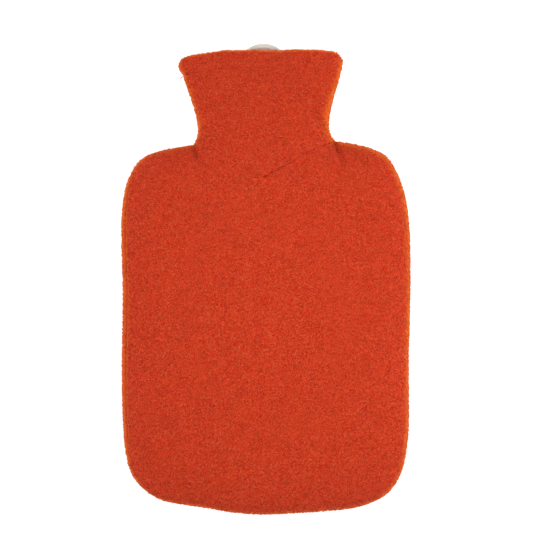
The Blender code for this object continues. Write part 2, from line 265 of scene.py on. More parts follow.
# Where the side seam lies around the body: how far it shows in from the widest line,
# on the front where positive and on the back where negative.
SEAM_INSET = (
    {"y": 96.0, "left": 0.0, "right": 0.0},
    {"y": 78.0, "left": 0.4, "right": -0.3},
    {"y": 55.0, "left": 2.4, "right": -0.8},
    {"y": -20.0, "left": 2.7, "right": -1.2},
    {"y": -105.0, "left": 2.5, "right": -1.0},
    {"y": -140.0, "left": 0.7, "right": -0.6},
    {"y": -168.0, "left": -0.5, "right": -0.5},
)

# How far in from the outline the painted rim light reaches: colour painted brighter where edge fibres
# glow in light from behind.
RIM_LIGHT_REACH = (
    {"y": -168.0, "left": 1.3, "right": 1.5},
    {"y": -140.0, "left": 1.4, "right": 2.0},
    {"y": -110.0, "left": 1.7, "right": 2.6},
    {"y": 60.0, "left": 1.8, "right": 2.7},
    {"y": 96.0, "left": 1.8, "right": 2.6},
    {"y": 112.0, "left": 2.3, "right": 4.0},
    {"y": 132.0, "left": 2.1, "right": 3.5},
    {"y": 152.0, "left": 1.6, "right": 2.4},
)

# Below the side seam the painted rim light is weaker. Where the seam shows on the front, a painted
# band of the same rim light also lies beside it.
UNDERSIDE_RIM_LIGHT_LOSS = 0.8
UNDERSIDE_EASE = 3.5
LEFT_RIM_LIGHT_BAND = {"middle": 1.5, "half_width": 1.1, "strength": 0.7, "full_inset": 2.6}

# How deep the cloth sinks at its seams and at their point, and how softly.
SIDE_SEAM_DEPTH = 1.0
NECK_SEAM_DEPTH = 0.35
LEFT_ARM_DEPTH = 0.1
RIGHT_ARM_DEPTH = 0.6
SEAM_SOFTNESS = 1.15
SEAM_HALF_GAP = 0.1
POINT_DEPTH = 2.0
POINT_SOFTNESS = 0.9

# The cloth's thickness.
CLOTH = 1.7

# How the mesh of the cloth is laid out: the rows of a strip along the side seam, and how
# far, as a share of the spacing, points keep from the border and from each other.
FRONT_SPACING = 1.45
OUTLINE_STEP = 0.9
STRIP_DEPTH = 8.0
STRIP_ROWS = 15
STRIP_EVEN = 0.35
STRIP_POWER = 1.6
TOP_BLEND = 14.0
SIDE_BLEND = 120.0
BORDER_CLEAR = 0.6
POINT_CLEAR = 0.7
FINE_CLEAR = 0.3
MERGE_DISTANCE = 1e-7
FINE_BESIDE_SEAM = (0.5, 1.1, 1.8)
FINE_BESIDE_FOLD = (-2.1, -1.4, -0.7, 0.0, 0.7, 1.4, 2.1)
FINE_FOLD_STEP = 0.9
FOLD_STEPS = 5
CORNER_REACH = 14.0
CORNER_EASE = 5.0
UPRIGHT = np.array([0.0, 0.0, 1.0])

# The soft unevenness of the nap, and how far the side seam presses the pile down.
NAP_HEIGHT = 0.08
NAP_SCALE = 0.42
PILE_DEPTH = 0.2
NAP_SHIFT = (7.3, 3.1, 5.7)
NAP_ROUGHNESS = 0.7
NAP_LACUNARITY = 2.1
NAP_OCTAVES = 3
SEAM_PRESS = 0.9
SEAM_PRESS_REACH = 0.8

# Colours of the fleece from its shaded to its bright curls, and the orange of the painted rim light,
# and how many curls, pits, worn patches and fibres there are in a metre.
FLEECE_SHADES = ((0.45, 0.006, 0.0005), (0.525, 0.030, 0.0075), (0.59, 0.108, 0.036))
TIP_SHADES = ((0.48, 0.009, 0.001), (0.56, 0.038, 0.011), (0.635, 0.125, 0.044))
SHADE_STOPS = (0.32, 0.5, 0.68)
# Painted rim light: the fleece's colour is mixed towards this brighter orange along the outline.
RIM_LIGHT_ORANGE = (0.72, 0.126, 0.011)
CURL_STRETCH = (1.7, 1.1, 1.0)
CURL_SCALE = 1150
PIT_SCALE = 640
WEAR_SCALE = 90
FIBRE_SCALE = 1900

# The colour sockets of a mix node, by number.
MIX_A = 6
MIX_B = 7
MIX_RESULT = 2

# The short pile: curls a square metre, their sizes in metres, and how much they vary.
PILE = {"per_square_metre": 700000.0, "length": 0.0018, "width": 0.0007, "height": 0.0006}
PILE_LEAN = 0.22
PILE_GROWTH = (0.55, 1.35)


def eased(t):
    """A share from 0 to 1, slow to start and to end."""
    return t * t * (3 - 2 * t)


def unit(vectors):
    """Rows of one length."""
    return vectors / np.linalg.norm(vectors, axis=1)[:, None]


def path_lengths(path):
    """How far along a path each of its points is."""
    return np.r_[0, np.cumsum(np.linalg.norm(np.diff(path, axis=0), axis=1))]


def smooth_line(points, step=OUTLINE_STEP):
    """A smooth line through the points, with a vertex about every step."""
    knots = np.array(points, float)
    ends = (2 * knots[0] - knots[1], 2 * knots[-1] - knots[-2])
    knots = np.vstack([ends[0], knots, ends[1]])
    line = []
    for before, start, end, after in zip(knots, knots[1:], knots[2:], knots[3:]):
        span = np.linalg.norm(end - start)
        lead = span / max(np.linalg.norm(start - before), span)
        tail = span / max(np.linalg.norm(after - end), span)
        leaving = (end - start + (start - before) * lead) / 2
        arriving = (end - start + (after - end) * tail) / 2
        count = max(2, round(span / step))
        for t in np.arange(count) / count:
            line.append(
                start * (2 * t**3 - 3 * t**2 + 1)
                + leaving * (t**3 - 2 * t**2 + t)
                + end * (3 * t**2 - 2 * t**3)
                + arriving * (t**3 - t**2)
            )
    line.append(knots[-2])
    return np.array(line)


def eased_rows(table, name, key, at):
    """One column of a table at the given places, eased from row to row."""
    rows = sorted(table, key=lambda row: row[key])
    places = np.array([row[key] for row in rows])
    values = np.array([row[name] for row in rows])
    index = np.clip(np.searchsorted(places, at) - 1, 0, len(places) - 2)
    t = np.clip((at - places[index]) / (places[index + 1] - places[index]), 0, 1)
    return values[index] + (values[index + 1] - values[index]) * eased(t)


def nearest_of(places, points):
    """The number of the place nearest to each point, and how far off it is."""
    tree = kdtree.KDTree(len(places))
    for number, place in enumerate(places.tolist()):
        tree.insert((*place, 0.0)[:3], number)
    tree.balance()
    found = [tree.find((*point, 0.0)[:3])[1:] for point in points.tolist()]
    return np.array([number for number, _ in found], int), np.array([apart for _, apart in found])


def distance_to(line, points):
    """How far each point is from a line of straight runs, in two or three dimensions."""
    number, apart = nearest_of(line, points)
    for first in (number - 1, number):
        first = np.clip(first, 0, len(line) - 2)
        run = line[first + 1] - line[first]
        offset = points - line[first]
        t = np.clip((offset * run).sum(1) / (run**2).sum(1), 0, 1)
        apart = np.minimum(apart, np.linalg.norm(offset - t[:, None] * run, axis=1))
    return apart


body_line = smooth_line(BODY_OUTLINE)
neck_left_line = smooth_line(NECK_LEFT)
neck_right_line = smooth_line(NECK_RIGHT)
side_line = np.vstack([neck_left_line[:0:-1], body_line, neck_right_line[1:]])


def rounded_edge(distance, width):
    """0 at the edge and 1 from width inwards, along a quarter of an ellipse."""
    t = np.clip(distance / width, 0, 1)
    return np.sqrt(1 - (1 - t) ** 2)


def front_surface(points):
    """Heights of the front: the side seam, the rounded rise above it and the creases."""
    distance = distance_to(side_line, points)
    x, y = points.T
    across = np.clip(1 - (x / CROWN["half_width"]) ** 2, 0, 1)
    along = np.clip(1 - ((y - CROWN["middle_y"]) / CROWN["half_length"]) ** 2, 0, 1)
    rise = eased_rows(HEIGHTS, "front", "y", y) + CROWN["rise"] * across * along
    edge = rounded_edge(distance, eased_rows(HEIGHTS, "front_edge", "y", y))
    creases = np.zeros(len(points))
    for crease in CREASES:
        apart = distance_to(np.array([crease["start"], crease["end"]], float), points)
        fade = np.clip(distance / crease["fade"], 0, 1)
        creases += crease["height"] * fade * np.exp(-((apart / crease["width"]) ** 2))
    return eased_rows(HEIGHTS, "seam", "y", y) + rise * edge + creases


def back_surface(points):
    """Heights of the back, rounded down from the side seam."""
    distance = distance_to(side_line, points)
    y = points[:, 1]
    edge = rounded_edge(distance, eased_rows(HEIGHTS, "back_edge", "y", y))
    return eased_rows(HEIGHTS, "seam", "y", y) - eased_rows(HEIGHTS, "back", "y", y) * edge


def inward_from(line):
    """Unit directions square to a line that runs anticlockwise, towards its inside."""
    ahead = np.gradient(line, axis=0)
    return unit(np.column_stack([-ahead[:, 1], ahead[:, 0]]))


def by_side(table, points):
    """A table's left and right columns, eased from one side of the cover to the other."""
    left = eased_rows(table, "left", "y", points[:, 1])
    right = eased_rows(table, "right", "y", points[:, 1])
    share = eased(np.clip(points[:, 0] / SIDE_BLEND + 0.5, 0, 1))
    return left * (1 - share) + right * share


def rim_light_share(points):
    """How strong the painted rim light is, from 1 on the outline down to 0, and weaker below the side
    seam.
    """
    distance = distance_to(side_line, points[:, :2])
    below = eased_rows(HEIGHTS, "seam", "y", points[:, 1]) - points[:, 2]
    share = 1 - UNDERSIDE_RIM_LIGHT_LOSS * np.clip(below / UNDERSIDE_EASE, 0, 1)
    return share * np.exp(-((distance / by_side(RIM_LIGHT_REACH, points)) ** 2))


def seam_angles(line):
    """The side seam's place on the rounded edge, as an angle up from the widest line."""
    inset = by_side(SEAM_INSET, line)
    front = eased_rows(HEIGHTS, "front_edge", "y", line[:, 1])
    back = eased_rows(HEIGHTS, "back_edge", "y", line[:, 1])
    width = np.where(inset >= 0, front, back)
    return np.sign(inset) * np.arccos(1 - np.abs(inset) / width)


def strip_rows(facing, directions):
    """Rows of points from the side seam inwards, which follow the rounded edge."""
    front_width = eased_rows(HEIGHTS, "front_edge", "y", body_line[:, 1])
    back_width = eased_rows(HEIGHTS, "back_edge", "y", body_line[:, 1])
    width = front_width if facing > 0 else back_width
    last = facing * np.arccos(1 - STRIP_DEPTH / width)
    seam_rise = eased_rows(HEIGHTS, "front", "y", body_line[:, 1])
    first = seam_angles(body_line) + facing * SEAM_HALF_GAP / seam_rise
    steps = np.arange(STRIP_ROWS) / (STRIP_ROWS - 1)
    rows = []
    for step in STRIP_EVEN * steps + (1 - STRIP_EVEN) * steps**STRIP_POWER:
        angle = first + (last - first) * step
        depth = np.where(angle >= 0, front_width, back_width) * (1 - np.cos(angle))
        places = body_line + directions * depth[:, None]
        height = np.where(angle >= 0, front_surface(places), back_surface(places))
        rows.append(np.column_stack([places, height]))
    return np.array(rows)


def inside(polygon, points, batch=3000):
    """Whether each point is within a closed polygon."""
    x1, y1 = polygon.T
    x2, y2 = np.roll(polygon, -1, axis=0).T
    found = []
    for first in range(0, len(points), batch):
        x, y = points[first : first + batch].T[..., None]
        crosses = (y1 > y) != (y2 > y)
        with np.errstate(divide="ignore", invalid="ignore"):
            reach = (x2 - x1) * (y - y1) / (y2 - y1) + x1
        found.append((crosses & (x < reach)).sum(1) % 2 == 1)
    return np.concatenate(found)


def fill_between(border, spacing, extra=()):
    """Even triangles inside a closed border: the points added, and the faces over them all."""
    low = border.min(0)
    high = border.max(0)
    rise = spacing * math.sqrt(3) / 2
    ys = np.arange(low[1], high[1], rise)
    rows = []
    for row, y in enumerate(ys):
        xs = np.arange(low[0] + spacing / 2 * (row % 2), high[0], spacing)
        rows.append(np.column_stack([xs, np.full(len(xs), y)]))
    points = np.vstack(rows)
    points = points[inside(border, points)]
    closed = np.vstack([border, border[:1]])
    points = points[distance_to(closed, points) > spacing * BORDER_CLEAR]
    if len(extra):
        extra = extra[inside(border, extra)]
        extra = extra[distance_to(closed, extra) > FINE_CLEAR]
        points = points[nearest_of(extra, points)[1] > spacing * POINT_CLEAR]
        points = np.vstack([extra, points])
    everything = np.vstack([border, points])
    _, _, faces, origins, _, _ = geometry.delaunay_2d_cdt(
        [Vector(point) for point in everything],
        [],
        [list(range(len(border)))],
        1,
        MERGE_DISTANCE,
    )
    places = np.array([origin[0] for origin in origins])
    return points, places[np.array([list(face) for face in faces])]


def smooth_normals(points, triangles):
    """Unit vertex normals from triangle areas."""
    a, b, c = (points[triangles[:, corner]] for corner in range(3))
    flat = np.cross(b - a, c - a)
    normals = np.zeros_like(points)
    for corner in range(3):
        np.add.at(normals, triangles[:, corner], flat)
    return unit(normals)


def grid_triangles(index):
    """Two triangles for each cell of a grid of vertex numbers."""
    corners = (index[:-1, :-1], index[:-1, 1:], index[1:, 1:], index[1:, :-1])
    a, b, c, d = (corner.ravel() for corner in corners)
    return np.vstack([np.column_stack([a, b, c]), np.column_stack([a, c, d])])


def nap_height(points, seed):
    """Soft unevenness of the fleece, a millimetre or two across."""
    shift = Vector(NAP_SHIFT) * seed
    settings = (NAP_ROUGHNESS, NAP_LACUNARITY, NAP_OCTAVES)
    return np.array([noise.fractal(Vector(point) * NAP_SCALE + shift, *settings) for point in points])


def body_sheet(facing, top_line, spacing, extra=()):
    """Outer face of a body panel: points, triangles, and the numbers of its strip and top line."""
    directions = inward_from(body_line)
    lengths = path_lengths(body_line)
    ends = (
        (lengths, top_line[1] - top_line[0]),
        (lengths[-1] - lengths, top_line[-2] - top_line[-1]),
    )
    for from_end, towards in ends:
        share = eased(np.clip(1 - from_end / TOP_BLEND, 0, 1)[:, None])
        directions = directions * (1 - share) + towards / np.linalg.norm(towards) * share
    strip = strip_rows(facing, unit(directions))
    ring = strip[-1, :, :2]
    reach = np.linalg.norm(ring[0] - body_line[0])
    path = [ring[0]]
    for start, end in zip(top_line, top_line[1:]):
        span = np.linalg.norm(end - start)
        for share in np.arange(1, round(span / spacing) + 1) / round(span / spacing):
            path.append(start + (end - start) * share)
    path = np.array(path[1:-1])
    for corner in (body_line[0], body_line[-1]):
        path = path[np.linalg.norm(path - corner, axis=1) > reach + spacing * BORDER_CLEAR]
    border = np.vstack([ring, path[::-1]])
    added, faces = fill_between(border, spacing, extra)
    surface = front_surface if facing > 0 else back_surface
    flat = np.vstack([path[::-1], added])
    points = np.vstack([strip.reshape(-1, 3), np.column_stack([flat, surface(flat)])])
    index = np.arange(STRIP_ROWS * len(body_line)).reshape(STRIP_ROWS, -1)
    numbers = np.r_[index[-1], index.size + np.arange(len(flat))]
    triangles = np.vstack([grid_triangles(index), numbers[faces]])
    if facing < 0:
        triangles = triangles[:, ::-1]
    top_numbers = np.r_[index[:, 0], index.size + np.arange(len(path))[::-1], index[::-1, -1]]
    return points, triangles, index, top_numbers


def sink_seams(points, normals, seam_columns, seam_paths):
    """Rolls the cloth in along its seams, each given with how deep it goes."""
    sunk = np.zeros(len(points))
    for columns, depth in seam_columns:
        steps = np.linalg.norm(np.diff(points[columns], axis=0), axis=2)
        along = np.vstack([np.zeros(steps.shape[1]), np.cumsum(steps, axis=0)])
        sunk[columns] = np.maximum(sunk[columns], depth * np.exp(-((along / SEAM_SOFTNESS) ** 2)))
    for path, depth in seam_paths:
        apart = distance_to(path, points)
        sunk = np.maximum(sunk, depth * np.exp(-((apart / SEAM_SOFTNESS) ** 2)))
    return points - normals * sunk[:, None]


def edge_loops(triangles):
    """Directed edges that belong to one triangle only."""
    edges = np.vstack([triangles[:, [0, 1]], triangles[:, [1, 2]], triangles[:, [2, 0]]])
    count = int(edges.max()) + 1
    forward = edges[:, 0] * count + edges[:, 1]
    backward = edges[:, 1] * count + edges[:, 0]
    return edges[~np.isin(forward, backward)]


def cloth_object(name, points, triangles, normals, thickness, rim_light, hem=None, hem_up=None, nap=1.0):
    """A closed sheet of cloth: outer face, inner face, flat rims, and a round fold along a hem."""
    count = len(points)
    vertices = [points, points - normals * thickness[:, None]]
    faces = [triangles, triangles[:, ::-1] + count]
    fold_numbers = {}
    if hem is not None:
        hem = np.sort(hem)
        radius = thickness[hem][:, None] / 2
        for step, angle in enumerate(np.linspace(0, math.pi, FOLD_STEPS + 2)[1:-1]):
            outward = hem_up[hem] * math.sin(angle) - normals[hem] * (1 - math.cos(angle))
            vertices.append(points[hem] + outward * radius)
            for position, number in enumerate(hem):
                ring_number = 2 * count + step * len(hem) + position
                fold_numbers.setdefault(number, []).append(ring_number)
    rims = []
    for start, end in edge_loops(triangles):
        start_path = [start, *fold_numbers.get(start, []), start + count]
        end_path = [end, *fold_numbers.get(end, []), end + count]
        if start in fold_numbers and end in fold_numbers:
            for a, b, c, d in zip(start_path, start_path[1:], end_path, end_path[1:]):
                rims += [(a, b, d), (a, d, c)]
        else:
            loop = start_path + end_path[::-1]
            rims += [(loop[0], loop[i], loop[i + 1]) for i in range(1, len(loop) - 1)]
    everything = np.vstack(vertices) * MM
    corners = np.vstack([*faces, rims])
    mesh = bpy.data.meshes.new(name)
    mesh.vertices.add(len(everything))
    mesh.vertices.foreach_set("co", everything.astype(np.float32).ravel())
    mesh.loops.add(corners.size)
    mesh.loops.foreach_set("vertex_index", corners.astype(np.int32).ravel())
    mesh.polygons.add(len(corners))
    mesh.polygons.foreach_set("loop_start", np.arange(0, corners.size, 3, dtype=np.int32))
    mesh.update(calc_edges=True)
    # The painted rim light is given on the outer face, and set in full on the cut rims and the hem's
    # fold.
    for attribute, on_outer_face in (("napped", nap), ("painted_rim_glow", rim_light)):
        values = np.zeros(len(everything), np.float32)
        values[:count] = on_outer_face
        values[2 * count :] = 1
        mesh.attributes.new(attribute, "FLOAT", "POINT").data.foreach_set("value", values)
    mesh.shade_smooth()
    mesh.materials.append(fleece)
    return placed(name, mesh)


def ramp_node(tree, stops):
    """A colour ramp through stops, each a position and a colour."""
    node = tree.nodes.new("ShaderNodeValToRGB")
    elements = node.color_ramp.elements
    while len(elements) < len(stops):
        elements.new(0.5)
    for element, (position, colour) in zip(elements, stops):
        element.position = position
        element.color = (*colour, 1)
    return node


def noise_node(tree, scale, detail, distortion=0.0):
    """Noise at a scale of so many in a metre."""
    values = {"Scale": scale, "Detail": detail, "Distortion": distortion}
    return add_node(tree, "ShaderNodeTexNoise", values)


def mix_node(tree, blend, values=None):
    """A mix of two colours."""
    return add_node(tree, "ShaderNodeMix", values, data_type="RGBA", blend_type=blend)


def fleece_material(name, shades):
    """Micro-fleece: short matted curls with dark pits between them, and painted rim light where the
    rim attribute is set.
    """
    material, tree, shader = new_material(
        name,
        {
            "Roughness": 0.95,
            "Specular IOR Level": 0.15,
            "Sheen Weight": 0.15,
            "Sheen Roughness": 0.35,
            "Sheen Tint": (1.0, 0.45, 0.18, 1),
        },
    )
    place = add_node(tree, "ShaderNodeTexCoord")
    stretch = add_node(tree, "ShaderNodeMapping", {"Scale": CURL_STRETCH})
    curls = noise_node(tree, CURL_SCALE, 2.5, 0.5)
    shaded = ramp_node(tree, list(zip(SHADE_STOPS, shades)))
    pits = add_node(tree, "ShaderNodeTexVoronoi", {"Scale": PIT_SCALE})
    pit_shade = add_node(tree, "ShaderNodeMapRange", {"From Max": 0.36, "To Min": 0.62})
    wear = noise_node(tree, WEAR_SCALE, 2)
    patches = add_node(
        tree,
        "ShaderNodeMapRange",
        {"From Min": 0.3, "From Max": 0.7, "To Min": 0.985, "To Max": 1.015},
    )
    tone = add_node(tree, "ShaderNodeMath", operation="MULTIPLY")
    pitted = mix_node(tree, "MULTIPLY", {"Factor": 1})
    # Painted rim light: the base colour is mixed towards a brighter orange by the rim attribute.
    painted_rim_glow = add_node(tree, "ShaderNodeAttribute", attribute_name="painted_rim_glow")
    brightened = mix_node(tree, "MIX", {MIX_B: (*RIM_LIGHT_ORANGE, 1)})
    fibres = noise_node(tree, FIBRE_SCALE, 2)
    bump = add_node(tree, "ShaderNodeBump", {"Strength": 0.5, "Distance": 0.0003})
    connect(
        tree,
        (place, "Object", stretch, "Vector"),
        (stretch, "Vector", curls, "Vector"),
        (stretch, "Vector", pits, "Vector"),
        (place, "Object", wear, "Vector"),
        (place, "Object", fibres, "Vector"),
        (curls, "Fac", shaded, "Fac"),
        (pits, "Distance", pit_shade, "Value"),
        (wear, "Fac", patches, "Value"),
        (pit_shade, "Result", tone, 0),
        (patches, "Result", tone, 1),
        (shaded, "Color", pitted, MIX_A),
        (tone, "Value", pitted, MIX_B),
        (painted_rim_glow, "Fac", brightened, "Factor"),
        (pitted, MIX_RESULT, brightened, MIX_A),
        (brightened, MIX_RESULT, shader, "Base Color"),
        (fibres, "Fac", bump, "Height"),
        (bump, "Normal", shader, "Normal"),
    )
    return material


def along_path(path, at):
    """Places along a flat path, at the lengths that at gives for its whole length."""
    lengths = path_lengths(path)
    return np.column_stack([np.interp(at(lengths[-1]), lengths, path[:, axis]) for axis in (0, 1)])


def rows_beside(path, offsets, step=1.0):
    """Points along a path, in rows at the given distances to its side."""
    places = along_path(path, lambda length: np.arange(0, length, step))
    ahead = np.gradient(places, axis=0)
    aside = unit(np.column_stack([ahead[:, 1], -ahead[:, 0]]))
    return np.vstack([places + aside * offset for offset in offsets])


def on_front(path):
    """A line on the front surface above a flat path."""
    flat = along_path(path, lambda length: np.linspace(0, length, round(length) + 1))
    return np.column_stack([flat, front_surface(flat)])


def upright_at_corners(points, normals):
    """Turns the normals upright near the neck, so that the cloth's inner face stays inside."""
    for corner in (body_line[0], body_line[-1]):
        apart = np.linalg.norm(points[:, :2] - corner, axis=1)
        share = np.clip((CORNER_REACH - apart) / CORNER_EASE, 0, 1)[:, None]
        normals = normals * (1 - share) + UPRIGHT * share
    return unit(normals)


def pressed_nap(points):
    """The pile is pressed flat in the deep fold, along the seam's right arm and at its point."""
    nap = np.ones(len(points))
    for row in PRESSED:
        apart = distance_to(row["line"], points[:, :2])
        nap *= 1 - row["share"] * np.exp(-((apart / row["reach"]) ** 2))
    return nap


def flat_beside(from_seam):
    """The pile is caught down along the side seam."""
    return 1 - SEAM_PRESS * np.exp(-((from_seam / SEAM_PRESS_REACH) ** 2))


fleece = fleece_material("fleece", FLEECE_SHADES)
deep_crease = np.array([CREASES[0]["start"], CREASES[0]["end"], CREASES[1]["end"]])
point_seam = np.array(POINT_SEAM)
tip_number = int(np.argmin(point_seam[:, 1]))
seam_tip = point_seam[tip_number] + np.array([(-0.5, 0.2), (0.5, 0.2)])
PRESSED = (
    {"line": deep_crease, "reach": 1.3, "share": 1.0},
    {"line": point_seam[tip_number:], "reach": 0.6, "share": 0.5},
    {"line": seam_tip, "reach": 1.2, "share": 1.0},
)
seam_paths = (
    (on_front(point_seam[: tip_number + 1]), LEFT_ARM_DEPTH),
    (on_front(point_seam[tip_number:]), RIGHT_ARM_DEPTH),
)
beside_seam = rows_beside(point_seam[1:-1], FINE_BESIDE_SEAM)
beside_fold = rows_beside(deep_crease, FINE_BESIDE_FOLD, FINE_FOLD_STEP)
fine_points = np.vstack([beside_seam, beside_fold])
points, triangles, strip, top_numbers = body_sheet(1, point_seam, FRONT_SPACING, fine_points)
seam_bottom = points[top_numbers, :2]
# Painted rim light along the outline, and a painted band of it beside the side seam where the seam
# shows on the front.
rim_light = rim_light_share(points)
from_seam = distance_to(points[strip[0]], points)
band = np.exp(-(((from_seam - LEFT_RIM_LIGHT_BAND["middle"]) / LEFT_RIM_LIGHT_BAND["half_width"]) ** 2))
inset = np.clip(by_side(SEAM_INSET, points) / LEFT_RIM_LIGHT_BAND["full_inset"], 0, 1)
rim_light = np.maximum(rim_light, LEFT_RIM_LIGHT_BAND["strength"] * band * inset)
normals = smooth_normals(points, triangles)
points = sink_seams(points, normals, [(strip, SIDE_SEAM_DEPTH)], seam_paths)
tip = np.array([*point_seam[tip_number], seam_paths[1][0][0, 2]])
points[:, 2] -= POINT_DEPTH * np.exp(-(((points - tip)[:, :2] ** 2).sum(1) / POINT_SOFTNESS**2))
points += normals * (nap_height(points, 1) * NAP_HEIGHT - PILE_DEPTH)[:, None]
normals = upright_at_corners(points, smooth_normals(points, triangles))
front_panel = cloth_object(
    "front_panel_fleece",
    points,
    triangles,
    normals,
    np.full(len(points), CLOTH),
    rim_light,
    nap=pressed_nap(points) * flat_beside(from_seam),
)
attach(front_panel, "root")
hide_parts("front_panel")


def node_group(name, given, sizes, result):
    """A Geometry Nodes tree with named inputs: the tree, and its input and output nodes."""
    tree = bpy.data.node_groups.new(name, "GeometryNodeTree")
    tree.interface.new_socket(given, in_out="INPUT", socket_type="NodeSocketGeometry")
    for label, kind, value in sizes:
        socket = tree.interface.new_socket(label, in_out="INPUT", socket_type="NodeSocket" + kind)
        socket.default_value = value
    tree.interface.new_socket(result, in_out="OUTPUT", socket_type="NodeSocketGeometry")
    return tree, tree.nodes.new("NodeGroupInput"), tree.nodes.new("NodeGroupOutput")


def make_real(tree, instances, result, material):
    """Instances made into one mesh of a material, as the tree's result."""
    realize = add_node(tree, "GeometryNodeRealizeInstances")
    finish = add_node(tree, "GeometryNodeSetMaterial", {"Material": material})
    connect(
        tree,
        (instances, "Instances", realize, "Geometry"),
        (realize, "Geometry", finish, "Geometry"),
        (finish, "Geometry", result, 0),
    )


def pile_tree(material):
    """Geometry Nodes: short matted curls, scattered where the cloth is napped."""
    sizes = (
        ("Curls per Square Metre", "Float", PILE["per_square_metre"]),
        ("Curl Length", "Float", PILE["length"]),
        ("Curl Width", "Float", PILE["width"]),
        ("Curl Height", "Float", PILE["height"]),
        ("Lean", "Float", PILE_LEAN),
        ("Seed", "Int", 1),
    )
    tree, given, result = node_group("short_pile", "Cloth", sizes, "Pile")
    napped = add_node(tree, "GeometryNodeInputNamedAttribute", {"Name": "napped"})
    share = add_node(tree, "ShaderNodeMath", operation="MULTIPLY")
    scatter = add_node(tree, "GeometryNodeDistributePointsOnFaces")
    tip = add_node(tree, "GeometryNodeMeshCone", {"Vertices": 3, "Radius Bottom": 0.5, "Depth": 1})
    drawn_out = add_node(tree, "ShaderNodeCombineXYZ")
    curl = add_node(tree, "GeometryNodeTransform")
    smooth = add_node(tree, "GeometryNodeSetShadeSmooth")
    place = add_node(tree, "GeometryNodeInstanceOnPoints")
    leaning = add_node(tree, "FunctionNodeRandomValue", data_type="FLOAT_VECTOR")
    backward = add_node(tree, "ShaderNodeMath", {1: -1}, operation="MULTIPLY")
    forward = add_node(tree, "ShaderNodeCombineXYZ", {"Z": math.pi})
    behind = add_node(tree, "ShaderNodeCombineXYZ", {"Z": -math.pi})
    turn = add_node(tree, "GeometryNodeRotateInstances")
    least, most = PILE_GROWTH
    growth = add_node(tree, "FunctionNodeRandomValue", {2: least, 3: most}, data_type="FLOAT")
    grow = add_node(tree, "GeometryNodeScaleInstances")
    connect(
        tree,
        (given, "Cloth", scatter, "Mesh"),
        (napped, "Attribute", share, 0),
        (given, "Curls per Square Metre", share, 1),
        (share, "Value", scatter, "Density"),
        (given, "Seed", scatter, "Seed"),
        (given, "Curl Length", drawn_out, "X"),
        (given, "Curl Width", drawn_out, "Y"),
        (given, "Curl Height", drawn_out, "Z"),
        (tip, "Mesh", curl, "Geometry"),
        (drawn_out, "Vector", curl, "Scale"),
        (curl, "Geometry", smooth, "Geometry"),
        (scatter, "Points", place, "Points"),
        (scatter, "Rotation", place, "Rotation"),
        (smooth, "Geometry", place, "Instance"),
        (given, "Lean", forward, "X"),
        (given, "Lean", forward, "Y"),
        (given, "Lean", backward, 0),
        (backward, "Value", behind, "X"),
        (backward, "Value", behind, "Y"),
        (behind, "Vector", leaning, 0),
        (forward, "Vector", leaning, 1),
        (given, "Seed", leaning, "Seed"),
        (place, "Instances", turn, "Instances"),
        (leaning, 0, turn, "Rotation"),
        (turn, "Instances", grow, "Instances"),
        (growth, 1, grow, "Scale"),
        (given, "Seed", growth, "Seed"),
    )
    make_real(tree, grow, result, material)
    return tree


def set_input(modifier, name, value):
    """Sets a Geometry Nodes input by its name."""
    for item in modifier.node_group.interface.items_tree:
        if item.item_type == "SOCKET" and item.in_out == "INPUT" and item.name == name:
            modifier[item.identifier] = value


def made_mesh(name, source, tree=None, values=None):
    """A plain mesh object from a source object, through a Geometry Nodes tree if one is given."""
    if tree:
        modifier = source.modifiers.new(name, "NODES")
        modifier.node_group = tree
        for key, value in values.items():
            set_input(modifier, key, value)
    graph = bpy.context.evaluated_depsgraph_get()
    mesh = bpy.data.meshes.new_from_object(source.evaluated_get(graph))
    mesh.name = name
    source.modifiers.clear()
    return placed(name, mesh)


def add_pile(name, cloth, seed, share=1.0):
    """The pile of one piece of cloth, with a share of the full number of curls."""
    values = {"Seed": seed, "Curls per Square Metre": PILE["per_square_metre"] * share}
    pile = made_mesh(name, cloth, short_pile, values)
    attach(pile, "root")


fleece_tips = fleece_material("fleece_tips", TIP_SHADES)
short_pile = pile_tree(fleece_tips)
add_pile("front_panel_pile", front_panel, 3)


# ---- Neck front ----
# The front of the neck, cut with a point at its lower edge to meet the body, flared to
# its mouth, where 12 mm of the cloth is turned in and held by one row of stitching.

HEM_EDGE = (
    (-60.6, 157.2),
    (-55.6, 158.8),
    (-44.0, 160.2),
    (-29.0, 162.1),
    (-6.0, 162.4),
    (8.0, 162.1),
    (26.0, 162.8),
    (42.0, 162.3),
    (51.2, 160.7),
    (54.9, 157.4),
)

# How the neck's front mesh is laid out flat: rows up from the seam with the body, and rows down
# from the hem's edge in a band of even depth.
SEAM_GAP = 0.1
NECK_SPACING = 1.15
SEAM_ROWS = (0.0, 0.35, 0.8, 1.4, 2.2)
HEM_BAND = 14.0
BAND_ROWS = (
    (14.0, 13.2, 12.8, 12.4, 12.0, 11.6, 11.2, 10.7, 10.0)
    + (9.0, 8.0, 7.0, 6.0, 5.0, 4.0, 3.0, 2.2, 1.7)
)
CORNER_ROWS = 5
CORNER_COLUMNS = 4

# The hem: its depth, its doubled cloth, how it puffs out, and how far down from its edge the painted
# rim light reaches.
HEM_DEPTH = 12.0
HEM_CLOTH = 3.4
HEM_OVERLAP = 1.4
HEM_EASE = 1.2
HEM_SIDE_EASE = 2.5
HEM_PUFF = 0.45
HEM_RIM_LIGHT_REACH = 1.0

# The trough along its stitching, and how far the pile is pressed down there.
STITCH_TROUGH = 0.45
STITCH_SOFTNESS = 1.2
STITCH_PRESS = 0.7
STITCH_PRESS_REACH = 0.6
hem_line = smooth_line(HEM_EDGE)


def at_fractions(line, fractions):
    """Places at the given fractions of a line's length."""
    return along_path(line, lambda length: np.asarray(fractions) * length)


